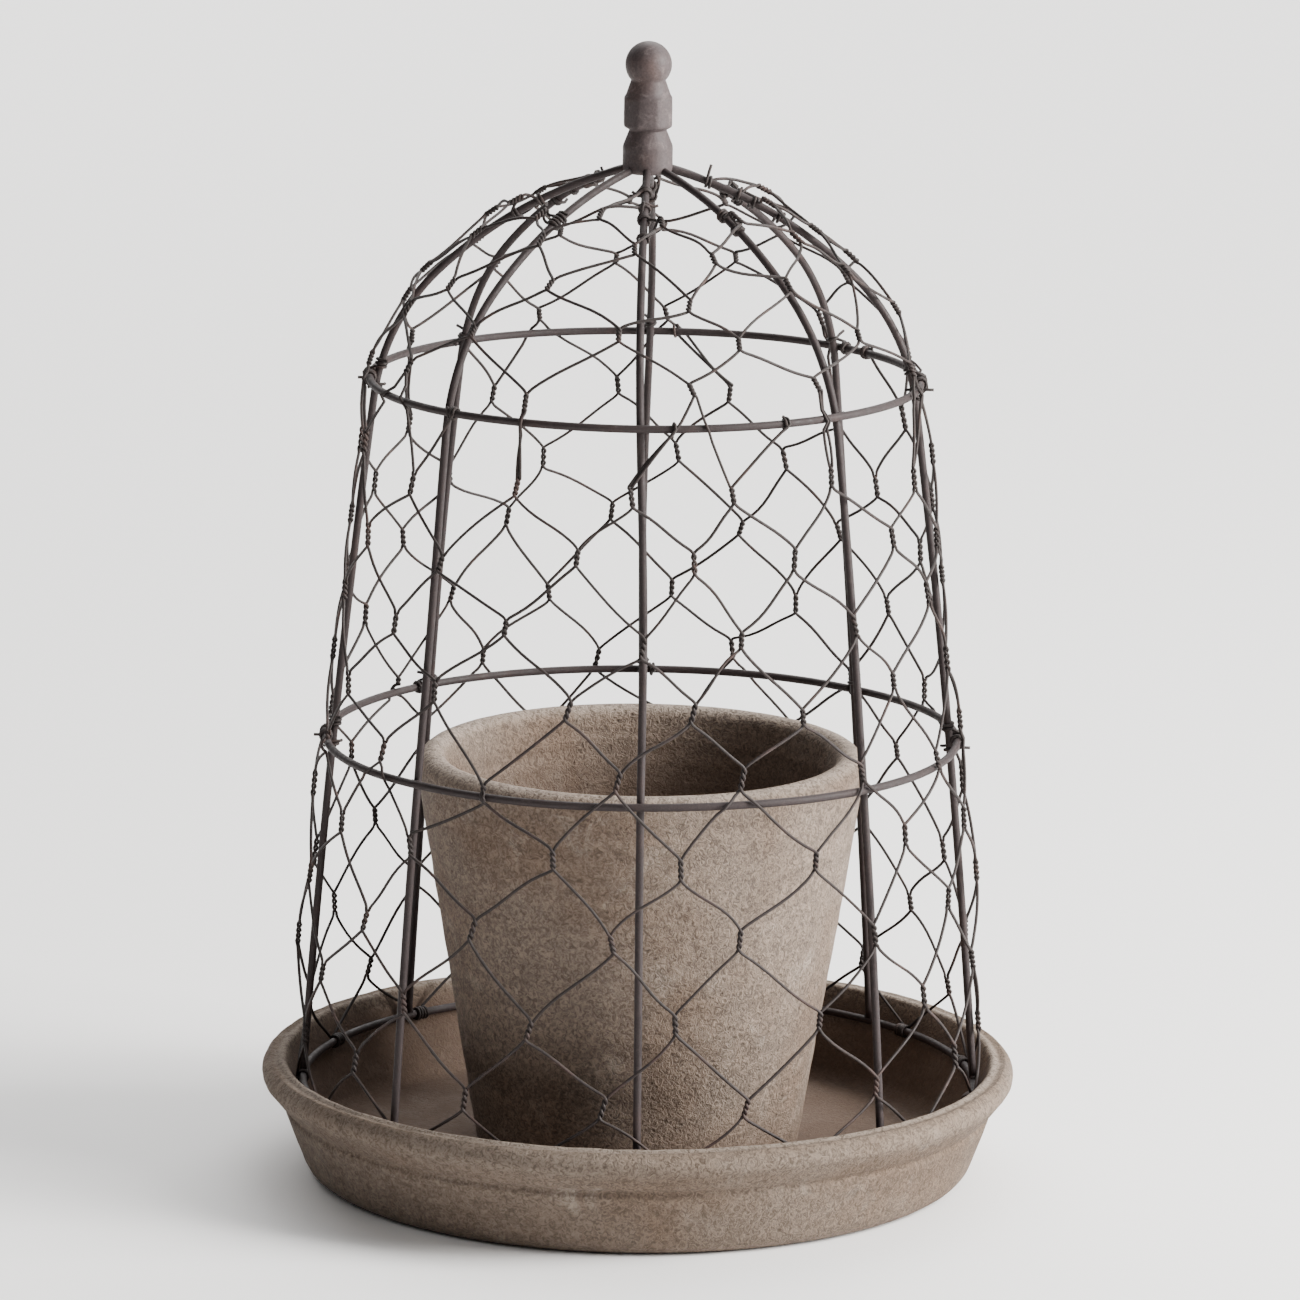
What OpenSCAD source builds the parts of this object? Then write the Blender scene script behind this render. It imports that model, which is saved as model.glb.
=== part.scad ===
// Wire garden cloche with a turned finial, in its clay saucer, over a matching clay pot.
// The origin is the centre of the saucer's underside, +Z is up and all sizes are millimetres.

/* [Saucer] */
// Outside diameter of the saucer at its rim band
saucer_d = 241; // [200:1:290]
// Height of the saucer
saucer_h = 37; // [34:0.5:45]
// Width of the saucer's rim, seen from above
saucer_rim_w = 8.2; // [6:0.1:11]
// Thickness of the saucer's floor
saucer_floor_t = 8; // [5:0.5:10]
// Height of the band round the rim, whose outside slopes in below its rounded top
rim_band_h = 13.5; // [10:0.5:18]
// Distance that the band slopes in, down to the body below it
rim_step = 6.2; // [3:0.1:8]

/* [Pot] */
// Outside diameter of the pot at its rim
pot_d = 143; // [110:1:155]
// Height of the pot
pot_h = 129; // [100:1:160]
// Diameter of the pot's foot
pot_foot_d = 103; // [85:1:125]
// Thickness of the pot's wall
pot_wall = 9.5; // [6:0.5:12]
// Thickness of the pot's floor
pot_floor_t = 9; // [6:0.5:14]
// Diameter of the drain hole
drain_d = 12; // [8:1:20]

/* [Cloche frame] */
// Diameter of the rib and hoop wire
wire_d = 2.5; // [2:0.1:3.6]
// Height of the base hoop's centre, where it is held by the saucer's tapered wall
seat_z = 29; // [24:0.5:31]
// Diameter of the circle through the ribs at the shoulder
shoulder_d = 170.4; // [142:0.2:205]
// Height of the shoulder, where the straight sides end
shoulder_z = 250; // [210:1:300]
// How far the middle of a rib's side bows outward from straight
side_bow = 1.5; // [0.8:0.1:4]
// Radius of the ribs' bend at the shoulder
shoulder_bend_r = 68; // [56:1:82]
// Tilt from upright at which the shoulder bend meets the crown
crown_tilt = 46; // [38:1:50]
// Height of the rib ends above the shoulder
crown_rise = 73.7; // [70:0.1:88]
// Height of the lower hoop
lower_hoop_z = 141; // [110:1:170]
// Height of the upper hoop above the shoulder
upper_hoop_rise = 6; // [2:0.5:8]

/* [Finial] */
// Diameter of the finial's two barrels
barrel_d = 15.8; // [15:0.1:20]
// Height of the lower barrel, which the ribs plug into
lower_barrel_h = 8.7; // [7:0.1:12]
// Height from the lower barrel to the groove
cone_h = 4.8; // [3:0.1:7]
// Diameter of the groove
groove_d = 12; // [10:0.1:14]
// Height of the middle barrel
middle_barrel_h = 11.2; // [8:0.1:13]
// Height of the flare below the ball
flare_h = 4.7; // [3:0.1:6]
// Diameter of the neck
neck_d = 11; // [9:0.1:12]
// Diameter of the ball
ball_d = 14.7; // [13:0.1:18]
// Depth of the sockets that the ribs plug into
socket_depth = 2.9; // [2:0.1:2.9]

/* [Netting] */
// Diameter of the netting wire
net_wire_d = 0.95; // [0.65:0.05:1.2]
// Length of a twist between two netting cells
twist_l = 8.5; // [6:0.5:10]
// Height of one row of cells along the side
row_pitch = 22.4; // [18:0.1:26]
// Clearance between the tie wires on the hoops and the netting outside them
net_clear = 0.4; // [0.2:0.1:1.5]
// Clearance between the tie wires on the base hoop and the foot of the netting
net_foot_clear = 1.25; // [0.8:0.05:3]

/* [Hidden] */

ribs = 8;
gore = 360 / ribs;
clay = [0.53, 0.46, 0.39];
iron = [0.35, 0.28, 0.27];
wire_r = wire_d / 2;
fit_gap = 0.25;
// Gap between a hoop or rib and the tie wire wound round it
tie_gap = 0.05;
revolve_fn = 120;
wire_fn = 32;

// Points along an arc, from angle a0 to angle a1 in n steps
function arc(c, r, a0, a1, n) =
    [for (i = [0:n]) c + r * [cos(a0 + (a1 - a0) * i / n), sin(a0 + (a1 - a0) * i / n)]];

// ---- Saucer ----
saucer_r = saucer_d / 2;
rim_in_r = saucer_r - saucer_rim_w;
band_z = saucer_h - rim_band_h;
body_top_r = saucer_r - rim_step;
// Radii of the rim's outer and inner edges, of the inside corner at the floor and of the foot's edge
rim_outer_r = 4.5;
rim_edge_r = 1.6;
floor_corner_r = 6;
foot_corner_r = 8.5;
// The wall leans out by this much for each millimetre of height, inside and outside
wall_lean = 0.39;
lean_a = atan(wall_lean);
wall_top_z = saucer_h - rim_edge_r;
function wall_r(z) = rim_in_r - wall_lean * (wall_top_z - z);

module saucer() {
    floor_in_r = wall_r(saucer_floor_t + floor_corner_r) - floor_corner_r;
    // The foot's edge is an arc that ends on the body's leaning outside
    foot_r = body_top_r - wall_lean * band_z - foot_corner_r * tan((90 - lean_a) / 2);
    color(clay) rotate_extrude($fn = revolve_fn) polygon(concat(
        [[0, 0]],
        arc([foot_r, foot_corner_r], foot_corner_r, -90, -lean_a, 6),
        [[body_top_r - 0.4, band_z - 1], [body_top_r, band_z]],
        arc([saucer_r - rim_outer_r, saucer_h - rim_outer_r], rim_outer_r, -24, 78, 8),
        arc([rim_in_r + rim_edge_r, wall_top_z], rim_edge_r, 90, 180 - lean_a, 5),
        arc([floor_in_r, saucer_floor_t + floor_corner_r], floor_corner_r, -lean_a, -90, 6),
        [[0, saucer_floor_t]]));
}

// ---- Pot ----
pot_r = pot_d / 2;
pot_foot_r = pot_foot_d / 2;
pot_top_z = saucer_floor_t + pot_h;
pot_lip_r = pot_wall / 2;
pot_lean = (pot_r - pot_foot_r) / (pot_h - pot_lip_r);
pot_foot_round = 3;
pot_floor_round = 8;

module pot() {
    tilt = atan(pot_lean);
    floor_z = saucer_floor_t + pot_floor_t;
    in_r = pot_foot_r + pot_lean * (pot_floor_t + pot_floor_round) - pot_wall - pot_floor_round;
    color(clay) difference() {
        rotate_extrude($fn = revolve_fn) polygon(concat(
            [[0, saucer_floor_t]],
            arc([pot_foot_r - pot_foot_round, saucer_floor_t + pot_foot_round], pot_foot_round,
                -90, -tilt, 4),
            arc([pot_r - pot_lip_r, pot_top_z - pot_lip_r], pot_lip_r, -tilt, 180 - tilt, 10),
            arc([in_r, floor_z + pot_floor_round], pot_floor_round, -tilt, -90, 6),
            [[0, floor_z]]));
        translate([0, 0, saucer_floor_t - 1])
            cylinder(h = pot_floor_t + 2, d = drain_d, $fn = 48);
    }
}

// ---- Ribs: three tangent arcs in the (radius, height) plane ----
tie_r = net_wire_d / 2;
base_r = wall_r(seat_z) - (wire_r + net_wire_d + fit_gap) / cos(lean_a);
shoulder = [shoulder_d / 2, shoulder_z];
// A rib leans inward from the base hoop, and its cut end rests on the hoop's crest
foot_lean = atan2(base_r - shoulder[0], shoulder_z - seat_z);
rib_foot = [base_r, seat_z + wire_r / cos(foot_lean)];
crown_z = shoulder_z + crown_rise;
rib_end = [barrel_d / 2 - socket_depth, crown_z];

side_chord = norm(shoulder - rib_foot);
side_r = (side_chord * side_chord / 4 + side_bow * side_bow) / (2 * side_bow);
side_turn = 2 * asin(side_chord / (2 * side_r));
chord_tilt = atan2(rib_foot[0] - shoulder[0], shoulder[1] - rib_foot[1]);
foot_tilt = chord_tilt - side_turn / 2;
shoulder_tilt = chord_tilt + side_turn / 2;
function normal(tilt) = [cos(tilt), sin(tilt)];
side_c = shoulder - side_r * normal(shoulder_tilt);
bend_c = shoulder - shoulder_bend_r * normal(shoulder_tilt);
crown_start = bend_c + shoulder_bend_r * normal(crown_tilt);
crown_chord = rib_end - crown_start;
crown_r = (crown_chord * crown_chord) / (-2 * crown_chord * normal(crown_tilt));
crown_c = crown_start - crown_r * normal(crown_tilt);
end_tilt = atan2(rib_end[1] - crown_c[1], rib_end[0] - crown_c[0]);

// Lengths along a rib to the end of each arc
side_l = side_r * side_turn * PI / 180;
bend_l = shoulder_bend_r * (crown_tilt - shoulder_tilt) * PI / 180;
crown_l = crown_r * (end_tilt - crown_tilt) * PI / 180;
rib_l = side_l + bend_l + crown_l;

// Tilt and place of the rib's centre line at a length s from its foot
function rib_tilt(s) =
    s < side_l ? foot_tilt + s / side_r * 180 / PI
    : s < side_l + bend_l ? shoulder_tilt + (s - side_l) / shoulder_bend_r * 180 / PI
    : crown_tilt + (s - side_l - bend_l) / crown_r * 180 / PI;
function rib_at(s) =
    s < side_l ? side_c + side_r * normal(rib_tilt(s))
    : s < side_l + bend_l ? bend_c + shoulder_bend_r * normal(rib_tilt(s))
    : crown_c + crown_r * normal(rib_tilt(s));
// Length along the rib at a height on its side or in its shoulder bend
function s_at(z) =
    z < shoulder_z ? (asin((z - side_c[1]) / side_r) - foot_tilt) * side_r * PI / 180
    : side_l + (asin((z - bend_c[1]) / shoulder_bend_r) - shoulder_tilt) * shoulder_bend_r * PI / 180;
function turned(p, a) = [p[0] * cos(a), p[0] * sin(a), p[1]];

// A rib is a tube swept along its centre line, with a ring of points at each of these lengths
rib_sides = 12;
rib_rings = [for (i = [0:9]) side_l * i / 10,
             for (i = [0:7]) side_l + bend_l * i / 8,
             for (i = [0:10]) side_l + bend_l + crown_l * i / 10];
rib_points = [for (s = rib_rings, j = [0:rib_sides - 1])
    let (a = 360 * j / rib_sides, n = wire_r * cos(a) * normal(rib_tilt(s)), p = rib_at(s))
        [p[0] + n[0], wire_r * sin(a), p[1] + n[1]]];
function ring_start(i) = i * rib_sides;
function next(j) = (j + 1) % rib_sides;
rib_faces = concat(
    [[for (j = [0:rib_sides - 1]) j],
     [for (j = [rib_sides - 1:-1:0]) ring_start(len(rib_rings) - 1) + j]],
    [for (i = [0:len(rib_rings) - 2], j = [0:rib_sides - 1])
        [ring_start(i) + j, ring_start(i + 1) + j, ring_start(i + 1) + next(j)]],
    [for (i = [0:len(rib_rings) - 2], j = [0:rib_sides - 1])
        [ring_start(i) + j, ring_start(i + 1) + next(j), ring_start(i) + next(j)]]);

module rib(i) {
    color(iron) rotate([0, 0, gore * (i - 1) - 90]) polyhedron(rib_points, rib_faces);
}

// ---- Hoops: the lower and upper ones lie on the outside of the ribs ----
lower_s = s_at(lower_hoop_z);
upper_s = s_at(shoulder_z + upper_hoop_rise);
function hoop_at(s) = rib_at(s) + wire_d * normal(rib_tilt(s));
lower_c = hoop_at(lower_s);
upper_c = hoop_at(upper_s);
base_c = [base_r, seat_z];

module hoop(c) {
    color(iron) translate([0, 0, c[1]])
        rotate_extrude($fn = revolve_fn) translate([c[0], 0]) circle(wire_r, $fn = wire_fn);
}

// ---- Finial, with a drilled socket for each rib ----
finial_z = crown_z - socket_depth / tan(end_tilt) - wire_r;
module finial() {
    groove_z = lower_barrel_h + cone_h;
    barrel_z = groove_z + 1.2;
    barrel_top = groove_z + middle_barrel_h;
    neck_z = barrel_top + flare_h;
    ball_r = ball_d / 2;
    neck_angle = acos(neck_d / ball_d);
    ball_z = neck_z + ball_r * sin(neck_angle);
    edge = 0.8;
    color(iron) difference() {
        translate([0, 0, finial_z]) rotate_extrude($fn = 96) polygon(concat(
            [[0, 0], [barrel_d / 2 - edge, 0], [barrel_d / 2, edge], [barrel_d / 2, lower_barrel_h],
             [groove_d / 2, groove_z], [groove_d / 2, groove_z + 0.4], [barrel_d / 2, barrel_z],
             [barrel_d / 2, barrel_top - edge], [barrel_d / 2 - edge, barrel_top]],
            [[neck_d / 2, neck_z]],
            arc([0, ball_z], ball_r, -neck_angle, 90, 16)));
        for (i = [0:ribs - 1]) rotate([0, 0, gore * i - 90])
            translate([rib_end[0] - fit_gap, 0, rib_end[1]]) rotate([0, 90 + 90 - end_tilt, 0])
                cylinder(h = barrel_d, d = wire_d + 0.2, $fn = 32);
    }
}

// ---- Netting: six-sided cells of wire that lie outside the ribs and hoops ----
columns = 4 * ribs;
dome_rows = 4;
column_a = 360 / columns;
net_foot_s = tie_gap + net_wire_d + net_foot_clear;
// The side rows reach from the foot to the upper hoop, in two equal tiers of panels
tier_rows = round((upper_s - net_foot_s) / (2 * row_pitch));
side_rows = 2 * tier_rows;
// The hoops' outsides and the tie wires are inside the netting
net_gap = 3 * wire_r + tie_gap + net_wire_d + net_clear + net_wire_d / 2;
net_rise = 40;
net_fall = 52;
dome_s = net_foot_s + side_rows * row_pitch;
dome_pitch = (rib_l - 16 - dome_s) / (dome_rows + 1);

// The netting closes in on the base hoop at its foot and on the ribs at the crown
function net_off(s) = net_gap * sin(90 * min(1, s / net_rise)) * sin(90 * min(1, (rib_l - s) / net_fall));
function net_at(a, s) = turned(rib_at(s) + net_off(s) * normal(rib_tilt(s)), a - 90);

wire_sides = 6;

// A length of wire from p towards q, which it stops short of by a given length
module strand(p, q, d, short = 0) {
    v = q - p;
    translate(p) rotate([0, acos(v[2] / norm(v)), atan2(v[1], v[0])])
        cylinder(h = norm(v) - short, d = d, $fn = wire_sides);
}
// Two wires twisted together
module twist(p, q) {
    strand(p, q, 2 * net_wire_d);
}
// A wire that runs to a twist of the next panel stops just clear of it
function short_by(crosses) = crosses ? net_wire_d + 0.1 : 0;

module net_side(i, row_0, row_1) {
    color(iron) for (row = [row_0:row_1], c = [0:3])
        if ((c + row) % 2 == 0) {
            a = (4 * (i - 1) + c + 0.5) * column_a;
            s = net_foot_s + row * row_pitch;
            top = net_at(a, s + twist_l);
            twist(net_at(a, s), top);
            for (side = [-1, 1])
                strand(top, net_at(a + side * column_a, s + row_pitch), net_wire_d,
                    short_by(c + side < 0 || c + side > 3 || row == row_1));
        }
}
module net_dome(i) {
    a = (4 * (i - 1) + 1.5) * column_a;
    color(iron) {
        for (side = [-1, 1]) {
            top = net_at(a + side * column_a, dome_s + twist_l * 0.7);
            twist(net_at(a + side * column_a, dome_s), top);
            strand(top, net_at(a, dome_s + dome_pitch), net_wire_d);
        }
        for (row = [1:dome_rows]) {
            twist_a = a + (row % 2 == 1 ? 0 : 2) * column_a;
            s = dome_s + row * dome_pitch;
            top = net_at(twist_a, s + twist_l * 0.6);
            twist(net_at(twist_a, s), top);
            for (side = [-1, 1])
                strand(top, net_at(twist_a + side * 2 * column_a, s + dome_pitch), net_wire_d,
                    short_by(side == (row % 2 == 1 ? -1 : 1)));
        }
    }
}

// ---- Tie wires: rings of netting wire wound round the hoops and ribs ----
tie_c_r = wire_r + tie_r + tie_gap;
module tie() {
    rotate_extrude($fn = 24) translate([tie_c_r, 0]) circle(tie_r, $fn = 16);
}
module hoop_ties(c, angles) {
    color(iron) for (a = angles)
        rotate([0, 0, a - 90]) translate([c[0], 0, c[1]]) rotate([90, 0, 0]) tie();
}
// Two rings beside each rib
beside_rib = [for (i = [0:ribs - 1], side = [-1, 1]) gore * i + side * 2.4];
module crown_ties() {
    color(iron) for (i = [0:ribs - 1], s = [rib_l - 15, rib_l - 18])
        rotate([0, 0, gore * i - 90]) translate([rib_at(s)[0], 0, rib_at(s)[1]])
            rotate([0, -rib_tilt(s), 0]) tie();
}

saucer();
pot();
finial();
for (i = [1:ribs]) rib(i);
hoop(base_c);  // base_hoop
hoop(lower_c);  // lower_hoop
hoop(upper_c);  // upper_hoop
for (i = [1:ribs]) net_side(i, 0, tier_rows - 1);
for (i = [1:ribs]) net_side(i, tier_rows, side_rows - 1);
for (i = [1:ribs]) net_dome(i);
hoop_ties(base_c, [for (c = [0:2:columns - 1]) (c + 0.5) * column_a]);  // base_ties
hoop_ties(lower_c, beside_rib);  // lower_ties
hoop_ties(upper_c, beside_rib);  // upper_ties
crown_ties();
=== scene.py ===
# %% [markdown]
# # A wire cloche with its saucer and pot
#
# The real thing is a small shelter for one plant: a clay saucer, a clay pot standing in it, and a domed
# cage of thick wire and hexagonal netting that lifts off by a turned finial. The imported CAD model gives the
# sizes, the bodies and the joints. This lesson builds the pieces that are seen: thrown clay with its grain,
# hand-bent ribs, and netting whose twists, knots and cut ends are real wire. Everything is in metres, with
# +Z up and the front at -Y.

# %% Load the frame
import bpy
import bmesh
import math
import random
from mathutils import Matrix, Vector, noise


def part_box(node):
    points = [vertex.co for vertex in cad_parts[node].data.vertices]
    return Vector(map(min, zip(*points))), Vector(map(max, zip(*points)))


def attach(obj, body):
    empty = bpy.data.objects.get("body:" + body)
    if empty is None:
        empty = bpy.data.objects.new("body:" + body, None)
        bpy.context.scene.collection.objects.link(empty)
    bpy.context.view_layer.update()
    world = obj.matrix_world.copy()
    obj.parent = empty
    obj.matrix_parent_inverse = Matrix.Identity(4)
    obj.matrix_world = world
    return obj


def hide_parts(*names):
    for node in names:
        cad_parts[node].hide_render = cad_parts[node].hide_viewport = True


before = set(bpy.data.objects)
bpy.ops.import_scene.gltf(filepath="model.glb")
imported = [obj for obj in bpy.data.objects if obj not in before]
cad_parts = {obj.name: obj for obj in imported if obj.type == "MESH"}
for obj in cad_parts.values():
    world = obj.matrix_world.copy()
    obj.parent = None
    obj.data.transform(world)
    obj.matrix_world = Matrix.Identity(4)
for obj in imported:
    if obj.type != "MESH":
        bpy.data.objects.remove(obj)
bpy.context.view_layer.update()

MM = 0.001

# %% [markdown]
# ## Camera
#
# The set is looked at from the front and a little above, from far enough away that its uprights stay nearly
# parallel. A long lens at 2.6 m does that. A short lens near the object would fan the ribs outwards. The
# camera is built from its three axes, so that its small roll is one number.

# %% Camera
CAMERA_DISTANCE = 2.6
CAMERA_HEIGHT = 0.7289
CAMERA_SIDE = 0.0024
CAMERA_PITCH = math.radians(12.15)
CAMERA_ROLL = math.radians(0.62)
LENS_MM = 232.6


def make_camera():
    data = bpy.data.cameras.new("camera")
    data.lens = LENS_MM
    data.sensor_width = 36.0
    data.clip_start, data.clip_end = 0.1, 30.0
    camera = bpy.data.objects.new("camera", data)
    forward = Vector((0, math.cos(CAMERA_PITCH), -math.sin(CAMERA_PITCH)))
    up = Vector((0, math.sin(CAMERA_PITCH), math.cos(CAMERA_PITCH)))
    side = Vector((1, 0, 0))
    rolled_side = side * math.cos(CAMERA_ROLL) + up * math.sin(CAMERA_ROLL)
    rolled_up = up * math.cos(CAMERA_ROLL) - side * math.sin(CAMERA_ROLL)
    axes = Matrix((rolled_side, rolled_up, -forward)).transposed()
    camera.matrix_world = Matrix.Translation((CAMERA_SIDE, -CAMERA_DISTANCE, CAMERA_HEIGHT)) @ axes.to_4x4()
    bpy.context.collection.objects.link(camera)
    bpy.context.scene.camera = camera
    return camera


camera = make_camera()
print("camera:", camera.name, "with a lens in mm of", LENS_MM)

# %% [markdown]
# ## Floor and light
#
# A pale floor runs on past the edge of every view, so there is no horizon and nothing competes with thin
# wires. The light comes mainly from the right, through one large soft panel, with a weak fill on the left.
# That leaves the left side of the clay darker, which is what makes it read as round. Wide panels overhead,
# far from the object, wash only the floor, because dark wire shows best against a bright ground. All of
# this is stage and not object.

# %% Floor and light
FLOOR_RADIUS = 30.0
KEY_POWER = 124
FILL_POWER = 0.3
TOP_POWER = 14
WASH_POWER = 290
WASH_HEIGHT = 2.6
WASHES = (("floor_wash_back", 0, 3.2, 1.0), ("floor_wash_front", 0, -3.2, 0.2),
          ("floor_wash_right", 4.0, 0, 0.35))
SKY_STRENGTH = 0.08


def plain_material(name, colour, roughness):
    material = bpy.data.materials.new(name)
    material.use_nodes = True
    shader = material.node_tree.nodes["Principled BSDF"]
    shader.inputs["Base Color"].default_value = (*colour, 1)
    shader.inputs["Roughness"].default_value = roughness
    return material


def make_floor():
    bm = bmesh.new()
    bmesh.ops.create_circle(bm, cap_ends=True, radius=FLOOR_RADIUS, segments=96)
    bmesh.ops.recalc_face_normals(bm, faces=bm.faces)
    mesh = bpy.data.meshes.new("floor")
    bm.to_mesh(mesh)
    bm.free()
    mesh.materials.append(plain_material("pale_floor", (0.95, 0.94, 0.93), 0.7))
    floor = bpy.data.objects.new("floor", mesh)
    bpy.context.collection.objects.link(floor)
    return floor


def soft_panel(name, place, aim, size, power, colour=(1, 1, 1)):
    data = bpy.data.lights.new(name, "AREA")
    data.shape = "RECTANGLE"
    data.size, data.size_y = size
    data.energy = power
    data.color = colour
    panel = bpy.data.objects.new(name, data)
    panel.location = place
    panel.rotation_euler = (Vector(aim) - Vector(place)).to_track_quat("-Z", "Y").to_euler()
    bpy.context.collection.objects.link(panel)
    return panel


def make_lights():
    middle = (0, 0, 0.16)
    soft_panel("key_right", (1.6, -0.4, 0.9), middle, (0.8, 1.2), KEY_POWER, (1.0, 0.985, 0.96))
    soft_panel("fill_left", (-1.7, -1.5, 0.9), middle, (1.4, 1.4), FILL_POWER, (0.97, 0.98, 1.0))
    soft_panel("top_back", (0.5, 0.8, 2.0), middle, (1.6, 1.2), TOP_POWER, (1.0, 1.0, 1.0))
    for name, x, y, share in WASHES:
        above, below = (x, y, WASH_HEIGHT), (x, y, 0)
        soft_panel(name, above, below, (5.0, 3.0), share * WASH_POWER, (1.0, 0.995, 0.985))
    world = bpy.data.worlds.new("studio")
    world.use_nodes = True
    background = world.node_tree.nodes["Background"]
    background.inputs["Color"].default_value = (0.95, 0.96, 1.0, 1)
    background.inputs["Strength"].default_value = SKY_STRENGTH
    bpy.context.scene.world = world


floor = make_floor()
make_lights()
print("stage:", floor.name, "and", 3 + len(WASHES), "soft panels")

# %% [markdown]
# ## Clay finish
#
# The saucer and pot are coarse clay, washed with a taupe slip that has weathered off unevenly. Close up,
# the skin is sandy: grains a millimetre across stand proud, and the wash has gone from their tops. Further
# off it is mottled, warmer where the clay shows through and paler where lime has dried. One node group
# holds this, because both pieces use it, and each piece places it with its own tints and amounts. It works
# on Object coordinates, in metres, so a grain has the same size on both.
#
# A group is a small net of nodes. The helpers here each add one kind of node and return its output, so that
# the group itself reads as a list of steps.

# %% Helpers for node groups


def new_group(name, inputs, outputs):
    group = bpy.data.node_groups.new(name, "ShaderNodeTree")
    for socket, kind, value in inputs:
        made = group.interface.new_socket(name=socket, in_out="INPUT", socket_type=kind)
        made.default_value = value
    for socket, kind in outputs:
        group.interface.new_socket(name=socket, in_out="OUTPUT", socket_type=kind)
    return group, group.nodes.new("NodeGroupInput"), group.nodes.new("NodeGroupOutput")


def noise_node(tree, coordinates, scale, detail=4.0, roughness=0.55, distortion=0.0):
    node = tree.nodes.new("ShaderNodeTexNoise")
    node.inputs["Scale"].default_value = scale
    node.inputs["Detail"].default_value = detail
    node.inputs["Roughness"].default_value = roughness
    node.inputs["Distortion"].default_value = distortion
    tree.links.new(coordinates, node.inputs["Vector"])
    return node.outputs["Fac"]


def stretch_node(tree, value, low, high, to_low=0.0, to_high=1.0):
    node = tree.nodes.new("ShaderNodeMapRange")
    node.interpolation_type = "SMOOTHSTEP"
    for socket, amount in zip(("From Min", "From Max", "To Min", "To Max"), (low, high, to_low, to_high)):
        node.inputs[socket].default_value = amount
    tree.links.new(value, node.inputs["Value"])
    return node.outputs["Result"]


def maths_node(tree, operation, first, second):
    node = tree.nodes.new("ShaderNodeMath")
    node.operation = operation
    for socket, value in zip(node.inputs, (first, second)):
        if isinstance(value, (int, float)):
            socket.default_value = value
        else:
            tree.links.new(value, socket)
    return node.outputs["Value"]


def mix_node(tree, factor, first, second, blend="MIX"):
    node = tree.nodes.new("ShaderNodeMix")
    node.data_type = "RGBA"
    node.blend_type = blend
    factor_socket, first_socket, second_socket = node.inputs[0], node.inputs[6], node.inputs[7]
    for socket, value in ((factor_socket, factor), (first_socket, first), (second_socket, second)):
        if isinstance(value, (int, float)):
            socket.default_value = value
        elif isinstance(value, tuple):
            socket.default_value = (*value, 1)
        else:
            tree.links.new(value, socket)
    return node.outputs[2]


def attribute_node(tree, name):
    node = tree.nodes.new("ShaderNodeAttribute")
    node.attribute_name = name
    return node.outputs["Fac"]


def grey_node(tree, value):
    node = tree.nodes.new("ShaderNodeCombineColor")
    for socket in node.inputs[:3]:
        tree.links.new(value, socket)
    return node.outputs["Color"]


def shaded_by(tree, colour, value):
    return mix_node(tree, 1.0, colour, grey_node(tree, value), "MULTIPLY")


FINISH_OUTPUTS = [("Color", "NodeSocketColor"), ("Roughness", "NodeSocketFloat"),
                  ("Height", "NodeSocketFloat")]

# %% [markdown]
# Now the clay itself. "worn" is a number kept on the points of each piece: worn places show pale lime on the
# tops of the grains. A second number marks where the colour is painted darker: painted shade deep inside the
# pot and the saucer, partly a damp stain in the saucer, and a darkening towards the pot's foot.

# %% The clay group


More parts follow.
